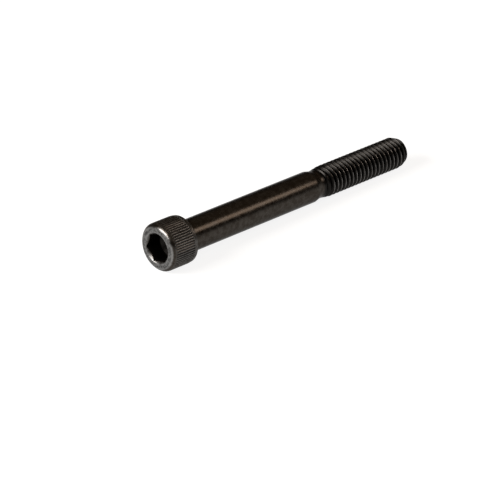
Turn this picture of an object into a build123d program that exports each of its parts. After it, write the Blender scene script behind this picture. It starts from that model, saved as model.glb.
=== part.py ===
"""Socket head cap screw, lying at rest on its knurled head and its thread."""

import os
from math import atan2, cos, radians, sin, tan

from build123d import *

# Head, in millimetres
head_diameter = 14.3
head_height = 9.5
crown_width = 1.3
crown_depth = 1.8
lead_width = 0.26
lead_depth = 0.8
rim_band = 1.3
rim_drop = 0.1
rim_chamfer = 0.25

# Straight knurl rolled into the side of the head
knurl_count = 60
knurl_depth = 0.22
knurl_turn = 1.2

# Hexagon socket
socket_flats = 7.95
socket_depth = 4.8
socket_turn = -17.0
pilot_diameter = 7.7
mouth_diameter = 9.3
drill_point_angle = 120.0

# Shank and the shoulder down to the thread blank
length = 88.9
shank_diameter = 9.5
shank_length = 50.6
under_head_fillet = 0.5
shoulder_length = 2.1
neck_diameter = 8.55
neck_length = 1.0

# Threaded end, as wide as the crests of a thread of three eighths of an inch
thread_diameter = 9.525
run_in_length = 3.4
point_length = 2.2
point_diameter = 7.8

# How far a cut reaches past the surface that it opens
overrun = 1.0

head_radius = head_diameter / 2
shank_radius = shank_diameter / 2
neck_radius = neck_diameter / 2
point_radius = point_diameter / 2
thread_radius = thread_diameter / 2
neck_start = shank_length + shoulder_length
run_in_start = neck_start + neck_length
full_thread_start = run_in_start + run_in_length
point_start = length - point_length

# The screw lies on one knurl crest and on the last full turn of the thread,
# so its axis dips towards the point.
dip = atan2(head_radius - thread_radius, rim_band + point_start)
face_radius = head_radius - crown_width
head_reach = head_height * cos(dip) + face_radius * sin(dip)
point_reach = length * cos(dip) + point_radius * sin(dip)
seat_height = head_radius * cos(dip) - rim_band * sin(dip)

# Plane through the axis: x runs from the bearing face to the socket, y up
side_plane = Plane(
    origin=((point_reach - head_reach) / 2, 0, seat_height),
    x_dir=(cos(dip), 0, sin(dip)),
    z_dir=(0, -1, 0),
)
# Plane of the bearing face: x points up, the normal towards the socket
bearing_plane = Plane(side_plane.origin, x_dir=side_plane.y_dir, z_dir=side_plane.x_dir)
screw_axis = Axis(side_plane.origin, side_plane.x_dir)

os.makedirs("parts", exist_ok=True)

with BuildPart() as cap_screw:
    # Turned form: head, shank, shoulder, neck, thread blank and point
    with BuildSketch(side_plane):
        with BuildLine():
            Polyline(
                (0, shank_radius + under_head_fillet),
                (0, head_radius - rim_drop - rim_chamfer),
                (rim_chamfer, head_radius - rim_drop),
                (rim_band - rim_drop, head_radius - rim_drop),
                (rim_band, head_radius),
                (head_height - crown_depth, head_radius),
                (head_height - crown_depth + lead_depth, head_radius - lead_width),
            )
            TangentArc(
                (head_height - crown_depth + lead_depth, head_radius - lead_width),
                (head_height, face_radius),
                tangent=(lead_depth, -lead_width),
            )
            Polyline(
                (head_height, face_radius),
                (head_height, 0),
                (-length, 0),
                (-length, point_radius),
                (-point_start, thread_radius),
                (-full_thread_start, thread_radius),
                (-run_in_start, neck_radius),
                (-neck_start, neck_radius),
                (-shank_length, shank_radius),
                (-under_head_fillet, shank_radius),
            )
            TangentArc(
                (-under_head_fillet, shank_radius),
                (0, shank_radius + under_head_fillet),
                tangent=(1, 0),
            )
        make_face()
    revolve(axis=screw_axis)

    # Pilot hole of the socket, with its chamfered mouth and drill point
    mouth_radius = mouth_diameter / 2
    pilot_radius = pilot_diameter / 2
    drill_point_depth = pilot_radius / tan(radians(drill_point_angle / 2))
    with BuildSketch(side_plane):
        Polygon(
            (head_height + overrun, 0),
            (head_height + overrun, mouth_radius + overrun),
            (head_height - mouth_radius + pilot_radius, pilot_radius),
            (head_height - socket_depth, pilot_radius),
            (head_height - socket_depth - drill_point_depth, 0),
            align=None,
        )
    revolve(axis=screw_axis, mode=Mode.SUBTRACT)

    # Hexagon forced into the pilot hole
    with BuildSketch(bearing_plane.offset(head_height - socket_depth)):
        RegularPolygon(socket_flats / 2, 6, major_radius=False, rotation=socket_turn)
    extrude(amount=socket_depth + overrun, mode=Mode.SUBTRACT)

    # Knurl: vees that run out through the crown, with one of them beside the crest on the ground
    with BuildSketch(bearing_plane.offset(rim_band - rim_drop)):
        with PolarLocations(head_radius, knurl_count, start_angle=180 + knurl_turn):
            Polygon(
                (-knurl_depth, 0),
                (0, -knurl_depth),
                (overrun, -knurl_depth),
                (overrun, knurl_depth),
                (0, knurl_depth),
                align=None,
            )
    extrude(amount=head_height, mode=Mode.SUBTRACT)

cap_screw.part.label = "cap_screw"
export_step(cap_screw.part, "parts/cap_screw.step")
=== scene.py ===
import math

import bpy
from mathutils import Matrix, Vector


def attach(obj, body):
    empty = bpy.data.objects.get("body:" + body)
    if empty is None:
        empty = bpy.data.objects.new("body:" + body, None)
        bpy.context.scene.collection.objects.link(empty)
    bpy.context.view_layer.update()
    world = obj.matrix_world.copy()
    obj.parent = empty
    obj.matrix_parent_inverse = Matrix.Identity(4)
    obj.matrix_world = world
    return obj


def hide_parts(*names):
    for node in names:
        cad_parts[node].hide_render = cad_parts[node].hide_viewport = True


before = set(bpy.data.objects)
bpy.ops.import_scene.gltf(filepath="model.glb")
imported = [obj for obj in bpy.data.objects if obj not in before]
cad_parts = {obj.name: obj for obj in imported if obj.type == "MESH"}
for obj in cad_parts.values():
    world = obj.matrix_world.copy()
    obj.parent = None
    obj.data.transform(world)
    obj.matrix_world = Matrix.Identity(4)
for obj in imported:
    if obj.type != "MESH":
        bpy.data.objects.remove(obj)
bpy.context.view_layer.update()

# Head and shank
# One bar of alloy steel, cold headed to the cap and left plain along the shank.
# The shoulder steps down to the thinner blank that the thread is rolled on.
MM = 0.001
HEAD_HEIGHT = 9.5
HEAD_RADIUS = 7.15
FACE_RADIUS = 5.85
RIM_BAND = 1.3
FILLET = 0.5
MOUTH_RADIUS = 4.65
SHANK_RADIUS = 4.75
SHANK_LENGTH = 50.6
NECK_RADIUS = 4.275
NECK_START = 52.7
THREAD_START = 53.7
COLUMNS = 720
MERGE_WITHIN = 0.002 * MM


def draw_line(name, points):
    """An open line of edges; each point is a radius and a height over the bearing face, in mm."""
    bpy.ops.object.select_all(action="DESELECT")
    radius, height = points[0]
    bpy.ops.mesh.primitive_plane_add(size=MM, location=(radius * MM, 0, height * MM))
    line = bpy.context.object
    line.name = name
    bpy.ops.object.transform_apply(location=True)
    bpy.ops.object.mode_set(mode="EDIT")
    bpy.ops.mesh.select_all(action="SELECT")
    bpy.ops.mesh.merge(type="CENTER")
    for (r0, z0), (r1, z1) in zip(points, points[1:]):
        step = ((r1 - r0) * MM, 0, (z1 - z0) * MM)
        bpy.ops.mesh.extrude_vertices_move(TRANSFORM_OT_translate={"value": step})
    bpy.ops.object.mode_set(mode="OBJECT")
    return line


def arc(centre, radius, start, end, steps):
    """Points on an arc between two angles, 0 degrees pointing outwards and 90 to the socket."""
    turn = [math.radians(start + (end - start) * i / steps) for i in range(steps + 1)]
    return [(centre[0] + radius * math.cos(t), centre[1] + radius * math.sin(t)) for t in turn]


neck_to_head = [
    (NECK_RADIUS, -THREAD_START),
    (NECK_RADIUS, -NECK_START - 0.12),
    (NECK_RADIUS + 0.012, -NECK_START + 0.06),
    (NECK_RADIUS + 0.06, -NECK_START + 0.3),
    (SHANK_RADIUS - 0.07, -SHANK_LENGTH - 0.32),
    (SHANK_RADIUS - 0.012, -SHANK_LENGTH - 0.04),
    (SHANK_RADIUS, -SHANK_LENGTH + 0.2),
    (SHANK_RADIUS, -34.0),
    (SHANK_RADIUS, -17.0),
    (SHANK_RADIUS, -1.2),
]
fillet = arc(centre=(SHANK_RADIUS + FILLET, -FILLET), radius=FILLET, start=180, end=90, steps=6)
rim = [
    (6.0, 0.0),
    (6.74, 0.0),
    (6.81, 0.02),
    (6.99, 0.2),
    (7.03, 0.28),
    (7.05, 0.4),
    (7.05, 1.16),
    (7.065, 1.22),
    (7.135, 1.29),
    (HEAD_RADIUS, 1.36),
]
knurled_side = [(HEAD_RADIUS, height) for height in (2.4, 3.8, 5.2, 6.4, 7.2, 7.6, 7.85)]
crown = [
    (7.14, 8.0),
    (7.115, 8.12),
    (7.08, 8.24),
    (7.035, 8.36),
    (6.98, 8.48),
    (6.91, 8.6),
    (6.83, 8.71),
    (6.74, 8.82),
    (6.64, 8.92),
    (6.53, 9.02),
    (6.41, 9.12),
    (6.28, 9.22),
    (6.14, 9.31),
    (6.0, 9.39),
    (5.87, 9.45),
    (5.77, 9.485),
    (5.67, HEAD_HEIGHT),
]
face = [(5.3, HEAD_HEIGHT), (4.76, HEAD_HEIGHT), (4.69, 9.49), (4.64, 9.46)]

# The socket starts as a round hole, and its wall is a column of rings
HEX_WALL_RADIUS = 4.2
MOUTH_RING = 9.2
LEAD_RING = 8.7
hex_wall = [(HEX_WALL_RADIUS, height) for height in (MOUTH_RING, LEAD_RING, 7.4, 6.0, 4.74)]
SOCKET_FLOOR = 4.7
PILOT_RADIUS = 3.85
drill_point = [
    (PILOT_RADIUS, SOCKET_FLOOR),
    (PILOT_RADIUS - 0.06, SOCKET_FLOOR - 0.03),
    (2.2, 3.75),
    (0.7, 2.88),
    (0.0, 2.48),
]
cap_screw = draw_line(
    "screw", neck_to_head + fillet + rim + knurled_side + crown + face + hex_wall + drill_point
)
bpy.ops.object.mode_set(mode="EDIT")
bpy.ops.mesh.select_all(action="SELECT")
bpy.ops.mesh.spin(steps=COLUMNS, angle=2 * math.pi, center=(0, 0, 0), axis=(0, 0, 1))
bpy.ops.mesh.select_all(action="SELECT")
bpy.ops.mesh.remove_doubles(threshold=MERGE_WITHIN)
bpy.ops.mesh.normals_make_consistent(inside=False)
bpy.ops.object.mode_set(mode="OBJECT")

# Straight knurl
# Sixty vee grooves rolled into the side of the head, so that fingers can turn it.
# They run out towards the face where the crown falls away below their floors.
KNURL_COUNT = 60
KNURL_DEPTH = 0.17
KNURL_TURN = math.radians(1.2)
cap_screw.rotation_euler = (0, 0, KNURL_TURN)
bpy.ops.object.transform_apply(rotation=True)
for vertex in cap_screw.data.vertices:
    radius = math.hypot(vertex.co.x, vertex.co.y) / MM
    if vertex.co.z / MM > RIM_BAND and radius > FACE_RADIUS:
        turn = math.atan2(vertex.co.y, vertex.co.x) - KNURL_TURN
        groove = HEAD_RADIUS - KNURL_DEPTH * (1 + math.cos(turn * KNURL_COUNT)) / 2
        if radius > groove:
            vertex.co.x *= groove / radius
            vertex.co.y *= groove / radius

# Hexagon socket
# A six-sided hole forced into a drilled pilot, with a countersunk mouth.
# The flats cut the countersink in six scallops that reach almost to the face at the corners.
SOCKET_TURN = math.radians(-17.0)
HALF_FLATS = 3.975
SIXTH_TURN = math.radians(60)
MOUTH_EDGE = 0.06
SAME_RADIUS = 0.01
RING_SLACK = 0.1
for vertex in cap_screw.data.vertices:
    radius = math.hypot(vertex.co.x, vertex.co.y) / MM
    height = vertex.co.z / MM
    if abs(radius - HEX_WALL_RADIUS) < SAME_RADIUS and height > SOCKET_FLOOR:
        turn = math.atan2(vertex.co.y, vertex.co.x) - SOCKET_TURN
        off_corner = turn - SIXTH_TURN * round(turn / SIXTH_TURN)
        if abs(off_corner) < math.pi / COLUMNS:
            turn -= off_corner
            off_corner = 0
        wall = HALF_FLATS / math.cos(SIXTH_TURN / 2 - abs(off_corner))
        mouth = HEAD_HEIGHT - MOUTH_RADIUS + wall
        if height > MOUTH_RING - RING_SLACK:
            vertex.co.z = mouth * MM
        elif height > LEAD_RING - RING_SLACK:
            vertex.co.z = (mouth - MOUTH_EDGE) * MM
        vertex.co.x = wall * MM * math.cos(turn + SOCKET_TURN)
        vertex.co.y = wall * MM * math.sin(turn + SOCKET_TURN)

# Rolled thread
# Pressed between dies into the thinner blank, so its roots are round and its crests a little soft.
# Crests rise out of the neck over two turns and are cut back by the cone of the point.
THREAD_RADIUS = 4.7625
ROOT_RADIUS = 3.735
PITCH = 1.5875
LENGTH = 88.9
RUN_IN = 3.4
POINT_LENGTH = 2.2
POINT_RADIUS = 3.9
TURNS = 25
TURNS_PAST_TIP = 1.2
STEPS_IN_TURN = 72
half_turn = [
    (ROOT_RADIUS, 0.0),
    (3.748, 0.06),
    (3.785, 0.113),
    (3.842, 0.157),
    (4.06, 0.283),
    (4.28, 0.41),
    (4.5, 0.537),
    (4.655, 0.627),
    (4.715, 0.667),
    (4.75, 0.712),
]
one_turn = half_turn + [(THREAD_RADIUS, PITCH / 2)]
one_turn += [(r, PITCH - z) for r, z in reversed(half_turn)]
thread = draw_line("thread", [(r, z - LENGTH - TURNS_PAST_TIP * PITCH) for r, z in one_turn])
winding = thread.modifiers.new("winding", "SCREW")
winding.axis = "Z"
winding.angle = 2 * math.pi
winding.screw_offset = PITCH * MM
winding.iterations = TURNS
winding.steps = STEPS_IN_TURN
winding.render_steps = STEPS_IN_TURN
winding.use_smooth_shade = True
bpy.ops.object.modifier_apply(modifier=winding.name)
for vertex in thread.data.vertices:
    radius = math.hypot(vertex.co.x, vertex.co.y) / MM
    from_neck = -vertex.co.z / MM - THREAD_START
    from_tip = LENGTH + vertex.co.z / MM
    crest = NECK_RADIUS + (THREAD_RADIUS - NECK_RADIUS) * from_neck / RUN_IN
    root = NECK_RADIUS - (NECK_RADIUS - ROOT_RADIUS) * from_neck / PITCH
    point = POINT_RADIUS + (THREAD_RADIUS - POINT_RADIUS) * from_tip / POINT_LENGTH
    shaped = min(max(radius, min(root, NECK_RADIUS)), max(crest, NECK_RADIUS), point)
    vertex.co.x *= shaped / radius
    vertex.co.y *= shaped / radius

# The winding is cut square below the neck and at the tip, where the end is dished a little
WELD_GAP = 0.1
CUT_WITHIN = 1e-7
DISHED_END = ((0.97, 0.0), (0.94, 0.01), (0.8, 0.1), (0.5, 0.04), (0.3, 0.01))
bpy.ops.object.mode_set(mode="EDIT")
bpy.ops.mesh.select_all(action="SELECT")
bpy.ops.mesh.remove_doubles(threshold=MERGE_WITHIN)
bpy.ops.mesh.select_all(action="SELECT")
bpy.ops.mesh.bisect(
    plane_co=(0, 0, -(THREAD_START + WELD_GAP) * MM),
    plane_no=(0, 0, 1),
    clear_outer=True,
    threshold=CUT_WITHIN,
)
bpy.ops.mesh.select_all(action="SELECT")
bpy.ops.mesh.bisect(
    plane_co=(0, 0, -LENGTH * MM),
    plane_no=(0, 0, 1),
    clear_inner=True,
    use_fill=True,
    threshold=CUT_WITHIN,
)
for shrink, sink in DISHED_END:
    bpy.ops.mesh.extrude_region_move(TRANSFORM_OT_translate={"value": (0, 0, sink * MM)})
    bpy.ops.transform.resize(value=(shrink, shrink, 1), center_override=(0, 0, 0))
bpy.ops.object.mode_set(mode="OBJECT")

# The thread is welded to the neck while the screw still stands upright
bpy.ops.object.select_all(action="DESELECT")
thread.select_set(True)
cap_screw.select_set(True)
bpy.context.view_layer.objects.active = cap_screw
bpy.ops.object.join()
bpy.ops.object.mode_set(mode="EDIT")
bpy.ops.mesh.select_all(action="DESELECT")
bpy.ops.mesh.select_mode(type="EDGE")
bpy.ops.mesh.select_non_manifold(extend=False)
bpy.ops.mesh.bridge_edge_loops()
bpy.ops.mesh.select_all(action="SELECT")
bpy.ops.mesh.remove_doubles(threshold=MERGE_WITHIN)
bpy.ops.mesh.normals_make_consistent(inside=False)
bpy.ops.object.mode_set(mode="OBJECT")

# Black oxide
# The steel is boiled in blackening salts and oiled, which leaves a thin brown-black skin.
# It is mottled, thinner on the pressed face of the head, and rubbed grey along crests and edges;
# the thread roots, the knurl grooves and the socket's depth are painted dark as shade.


def ramp(value, low, high):
    """0 below the low value, 1 above the high one and straight between."""
    return min(max((value - low) / (high - low), 0), 1)


# Radii or heights in millimetres between which each trace of making and handling, or the painted
# shade in the grooves, comes in
THREAD_CREST = (4.735, 4.76)
THREAD_GROOVE = (4.68, 4.75)
POINT_EDGE = (3.4, 3.8)
KNURL_CREST = (7.1, 7.14)
KNURL_GROOVE = (7.02, 7.1)
PRESSED_HEIGHT = (9.1, 9.45)
PRESSED_RADIUS = (4.3, 4.6)

# Two worn edges, with how far from each the wear is full and where it ends
CROWN_EDGE, CROWN_WEAR = 6.12, (0.12, 0.38)
MOUTH_LIP, MOUTH_WEAR = 4.7, (0.05, 0.2)

# How far a place is rubbed, darkened with painted shade or pressed thin, from 0 to 1
CREST_RUB, POINT_RUB, KNURL_RUB, RIM_RUB, CROWN_RUB, MOUTH_RUB = 0.8, 0.3, 0.35, 0.1, 0.75, 0.5
KNURL_SHADE = 0.95
SIDE_PRESS = 0.28

# Where one place ends and the next begins
TIP_FACE = 0.1 - LENGTH
KNURL_END = 8.0
SIDE_START = 0.1
SIDE_END = 8.6
CROWN_START = 8.9
FACE_EDGE = 5.3
LIP_START = 9.3
SHADE_START = 9.1
# One of these values is painted shade, which darkens the thread roots, the knurl grooves and the
# deep socket towards black
rubbed_at = cap_screw.data.attributes.new("rubbed", "FLOAT", "POINT")
pressed_at = cap_screw.data.attributes.new("pressed", "FLOAT", "POINT")
shade_paint_at = cap_screw.data.attributes.new("painted_shade", "FLOAT", "POINT")
for index, vertex in enumerate(cap_screw.data.vertices):
    radius = math.hypot(vertex.co.x, vertex.co.y) / MM
    height = vertex.co.z / MM
    rub = 0.0
    shade_paint = 0.0
    if height < TIP_FACE:
        rub = POINT_RUB * ramp(radius, *POINT_EDGE)
    elif height < -THREAD_START:
        rub = CREST_RUB * ramp(radius, *THREAD_CREST)
        # Painted shade in the thread roots
        shade_paint = 1 - ramp(radius, *THREAD_GROOVE)
    elif RIM_BAND < height < KNURL_END and radius > FACE_RADIUS:
        rub = KNURL_RUB * ramp(radius, *KNURL_CREST)
        # Painted shade in the knurl grooves, which also hides their reflections
        shade_paint = KNURL_SHADE * (1 - ramp(radius, *KNURL_GROOVE))
    elif 0 < height < RIM_BAND and radius > FACE_RADIUS:
        rub = RIM_RUB
    elif height > CROWN_START and radius > FACE_EDGE:
        rub = CROWN_RUB * (1 - ramp(abs(radius - CROWN_EDGE), *CROWN_WEAR))
    elif height > LIP_START:
        rub = MOUTH_RUB * (1 - ramp(abs(radius - MOUTH_LIP), *MOUTH_WEAR))
    elif height > 0 and radius < MOUTH_RADIUS:
        # Painted shade, deeper down the socket
        shade_paint = ramp(SHADE_START - height, 0.0, 1.0)
    rubbed_at.data[index].value = rub
    shade_paint_at.data[index].value = shade_paint
    press = ramp(height, *PRESSED_HEIGHT) * ramp(radius, *PRESSED_RADIUS)
    if radius > FACE_RADIUS and SIDE_START < height < SIDE_END:
        press = SIDE_PRESS
    pressed_at.data[index].value = press

# Laid down on a crest of the knurl and the last full turn of the thread, with the socket to +X
DIP = 0.027124
BEARING_FACE_AT = (39.65895 * MM, 0, 7.11211 * MM)
SMOOTH_BELOW = math.radians(32)
cap_screw.location = BEARING_FACE_AT
cap_screw.rotation_euler = (0, DIP - math.pi / 2, math.pi)
bpy.ops.object.transform_apply(location=True, rotation=True, scale=True)
bpy.ops.object.shade_smooth_by_angle(angle=SMOOTH_BELOW)

BROWN_BLACK = (0.027, 0.0215, 0.0165, 1)
GREY_BLACK = (0.047, 0.041, 0.035, 1)
SPECK_GREY = (0.075, 0.069, 0.063, 1)
THIN_DARK = (0.05, 0.049, 0.047, 1)
THIN_PALE = (0.17, 0.168, 0.164, 1)
RUBBED_STEEL = (0.26, 0.255, 0.25, 1)
# Near black for the painted shade
SHADE_BLACK = (0.01, 0.009, 0.008, 1)
PRESSED_DULLER = 0.14
RUBBED_DULLER = -0.08
black_oxide = bpy.data.materials.new("black_oxide")
black_oxide.use_nodes = True
nodes = black_oxide.node_tree.nodes
links = black_oxide.node_tree.links
steel = nodes["Principled BSDF"]
steel.inputs["Metallic"].default_value = 0.85
steel.inputs["Specular Tint"].default_value = (0.5, 0.5, 0.5, 1)
place = nodes.new("ShaderNodeTexCoord")


def noise(scale, detail, roughness):
    """Noise over the screw's own coordinates, with its scale in blotches per metre."""
    node = nodes.new("ShaderNodeTexNoise")
    node.inputs["Scale"].default_value = scale
    node.inputs["Detail"].default_value = detail
    node.inputs["Roughness"].default_value = roughness
    links.new(place.outputs["Object"], node.inputs["Vector"])
    return node.outputs["Fac"]


def spread(value, found, wanted):
    """A value taken smoothly from the range it is found in to the wanted one, and held there."""
    node = nodes.new("ShaderNodeMapRange")
    node.interpolation_type = "SMOOTHSTEP"
    node.inputs["From Min"].default_value = found[0]
    node.inputs["From Max"].default_value = found[1]
    node.inputs["To Min"].default_value = wanted[0]
    node.inputs["To Max"].default_value = wanted[1]
    links.new(value, node.inputs["Value"])
    return node.outputs["Result"]


def combined(kind, first, second):
    """Two values added, multiplied or compared; the second may be a number."""
    node = nodes.new("ShaderNodeMath")
    node.operation = kind
    links.new(first, node.inputs[0])
    if isinstance(second, float):
        node.inputs[1].default_value = second
    else:
        links.new(second, node.inputs[1])
    return node.outputs[0]


def blended(share, first, second):
    """Two colours mixed by a share; each is a colour or the output of another node."""
    node = nodes.new("ShaderNodeMix")
    node.data_type = "RGBA"
    links.new(share, node.inputs["Factor"])
    for value, socket in ((first, node.inputs[6]), (second, node.inputs[7])):
        if isinstance(value, tuple):
            socket.default_value = value
        else:
            links.new(value, socket)
    return node.outputs[2]


def drawn(name):
    """A value that the mesh carries at each vertex."""
    node = nodes.new("ShaderNodeAttribute")
    node.attribute_name = name
    return node.outputs["Fac"]


blotches = noise(scale=700, detail=3, roughness=0.6)
specks = noise(scale=3200, detail=2, roughness=0.5)
grain = noise(scale=9000, detail=2, roughness=0.5)
patches = noise(scale=1700, detail=2, roughness=0.6)
skin = blended(spread(blotches, (0.35, 0.65), (0, 1)), BROWN_BLACK, GREY_BLACK)
skin = blended(spread(specks, (0.55, 0.75), (0, 0.5)), skin, SPECK_GREY)
thin_skin = blended(spread(patches, (0.35, 0.65), (0, 1)), THIN_DARK, THIN_PALE)
skin = blended(drawn("pressed"), skin, thin_skin)
rubbed = combined("MULTIPLY", drawn("rubbed"), spread(blotches, (0.3, 0.6), (0.35, 1)))
skin = blended(rubbed, skin, RUBBED_STEEL)
# The near black mixed in here is painted shade in the grooves and the socket
links.new(blended(drawn("painted_shade"), skin, SHADE_BLACK), steel.inputs["Base Color"])
dull = spread(blotches, (0.3, 0.7), (0.22, 0.3))
dull = combined("ADD", dull, combined("MULTIPLY", drawn("pressed"), PRESSED_DULLER))
dull = combined("ADD", dull, combined("MULTIPLY", drawn("rubbed"), RUBBED_DULLER))
links.new(dull, steel.inputs["Roughness"])
bump = nodes.new("ShaderNodeBump")
bump.inputs["Strength"].default_value = 0.25
bump.inputs["Distance"].default_value = 0.02 * MM
links.new(combined("ADD", grain, specks), bump.inputs["Height"])
links.new(bump.outputs["Normal"], steel.inputs["Normal"])
cap_screw.data.materials.clear()
cap_screw.data.materials.append(black_oxide)
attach(cap_screw, "root")
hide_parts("cap_screw")

# Table and backdrop
# A wide sheet of matt card, turned up all round far outside the picture. It is grey to the lamps,
# so that it keeps the shadow, and glows white where the camera or the metal sees it.
CARD_RADIUS = 2.4
bpy.ops.object.select_all(action="DESELECT")
bpy.ops.mesh.primitive_circle_add(
    vertices=96, radius=CARD_RADIUS, fill_type="NGON", location=(0, 0, 0)
)
card = bpy.context.object
card.name = "white_card"
bpy.ops.object.mode_set(mode="EDIT")
bpy.ops.mesh.select_mode(type="EDGE")
for rise, reach in ((0.02, 0.2), (0.07, 0.17), (0.13, 0.12), (0.2, 0.06)):
    bpy.ops.mesh.select_all(action="DESELECT")
    bpy.ops.mesh.select_non_manifold(extend=False)
    bpy.ops.mesh.extrude_edges_move(TRANSFORM_OT_translate={"value": (0, 0, rise)})
    wider = 1 + reach / CARD_RADIUS
    bpy.ops.transform.resize(value=(wider, wider, 1), center_override=(0, 0, 0))
bpy.ops.object.mode_set(mode="OBJECT")
bpy.ops.object.shade_smooth()
white_card = bpy.data.materials.new("white_card")
white_card.use_nodes = True
nodes = white_card.node_tree.nodes
links = white_card.node_tree.links
paper = nodes["Principled BSDF"]
paper.inputs["Base Color"].default_value = (0.28, 0.28, 0.28, 1)
paper.inputs["Roughness"].default_value = 0.9
paper.inputs["Specular IOR Level"].default_value = 0.0
paper.inputs["Emission Color"].default_value = (1, 1, 1, 1)
path = nodes.new("ShaderNodeLightPath")
seen = combined("MAXIMUM", path.outputs["Is Camera Ray"], path.outputs["Is Glossy Ray"])
seen = combined("MAXIMUM", seen, path.outputs["Is Transmission Ray"])
spot = nodes.new("ShaderNodeTexCoord")
away = nodes.new("ShaderNodeVectorMath")
away.operation = "LENGTH"
links.new(spot.outputs["Object"], away.inputs[0])
fade = spread(away.outputs["Value"], (0.28, 0.9), (0.87, 0.5))
links.new(combined("MULTIPLY", seen, fade), paper.inputs["Emission Strength"])
card.data.materials.append(white_card)

# Light
# A wide soft lamp high in front of the socket, a weak warm one beyond the point,
# and a dim room that is darkest at the height of the table.
world = bpy.data.worlds.new("room")
bpy.context.scene.world = world
world.use_nodes = True
nodes = world.node_tree.nodes
links = world.node_tree.links
room = nodes["Background"]
room.inputs["Color"].default_value = (1.0, 0.74, 0.5, 1)
sky = nodes.new("ShaderNodeTexCoord")
sky_parts = nodes.new("ShaderNodeSeparateXYZ")
links.new(sky.outputs["Generated"], sky_parts.inputs[0])
ceiling = spread(sky_parts.outputs["Z"], (0.25, 0.75), (0.02, 0.2))
links.new(ceiling, room.inputs["Strength"])
SCREW_MIDDLE = Vector((0, 0, 0.007))


def soft_lamp(name, stand, wide, high, watts, colour):
    """A rectangular soft lamp that points at the middle of the screw."""
    bpy.ops.object.light_add(type="AREA", location=stand)
    lamp = bpy.context.object
    lamp.name = name
    lamp.data.shape = "RECTANGLE"
    lamp.data.size = wide
    lamp.data.size_y = high
    lamp.data.energy = watts
    lamp.data.color = colour
    lamp.rotation_euler = (SCREW_MIDDLE - Vector(stand)).to_track_quat("-Z", "Y").to_euler()


soft_lamp(
    "front", (0.8, -0.2, 0.58), wide=0.64, high=0.26, watts=10.5, colour=(1.0, 0.985, 0.97)
)
soft_lamp(
    "side", (-0.61, 0.535, 0.584), wide=0.28, high=0.28, watts=1.5, colour=(1.0, 0.85, 0.74)
)

# Camera
# A long lens above the table and in front of the socket, looking down along the shank.
# It stands so that the middle of the head's face falls on its place in the picture.
bpy.ops.object.camera_add()
camera = bpy.context.object
bpy.context.scene.camera = camera
AZIMUTH = math.radians(135.6)
ELEVATION = math.radians(27.4)
DISTANCE = 0.85
FOCAL_PIXELS = 3046
PICTURE = 500
SENSOR = 36
FACE_COLUMN = 156.7
FACE_ROW = 248.65
head_face = Vector((0.049155, 0, 0.007366))
back = Vector(
    (
        math.sin(AZIMUTH) * math.cos(ELEVATION),
        -math.cos(AZIMUTH) * math.cos(ELEVATION),
        math.sin(ELEVATION),
    )
)
turned = back.to_track_quat("Z", "Y")
right = turned @ Vector((1, 0, 0))
above = turned @ Vector((0, 1, 0))
shift_right = (FACE_COLUMN - PICTURE / 2) / FOCAL_PIXELS * DISTANCE
shift_up = (PICTURE / 2 - FACE_ROW) / FOCAL_PIXELS * DISTANCE
camera.data.sensor_width = SENSOR
camera.data.lens = SENSOR * FOCAL_PIXELS / PICTURE
camera.data.clip_start = 0.05
camera.location = head_face + back * DISTANCE - right * shift_right - above * shift_up
camera.rotation_euler = turned.to_euler()

bpy.context.scene.view_settings.view_transform = "Standard"
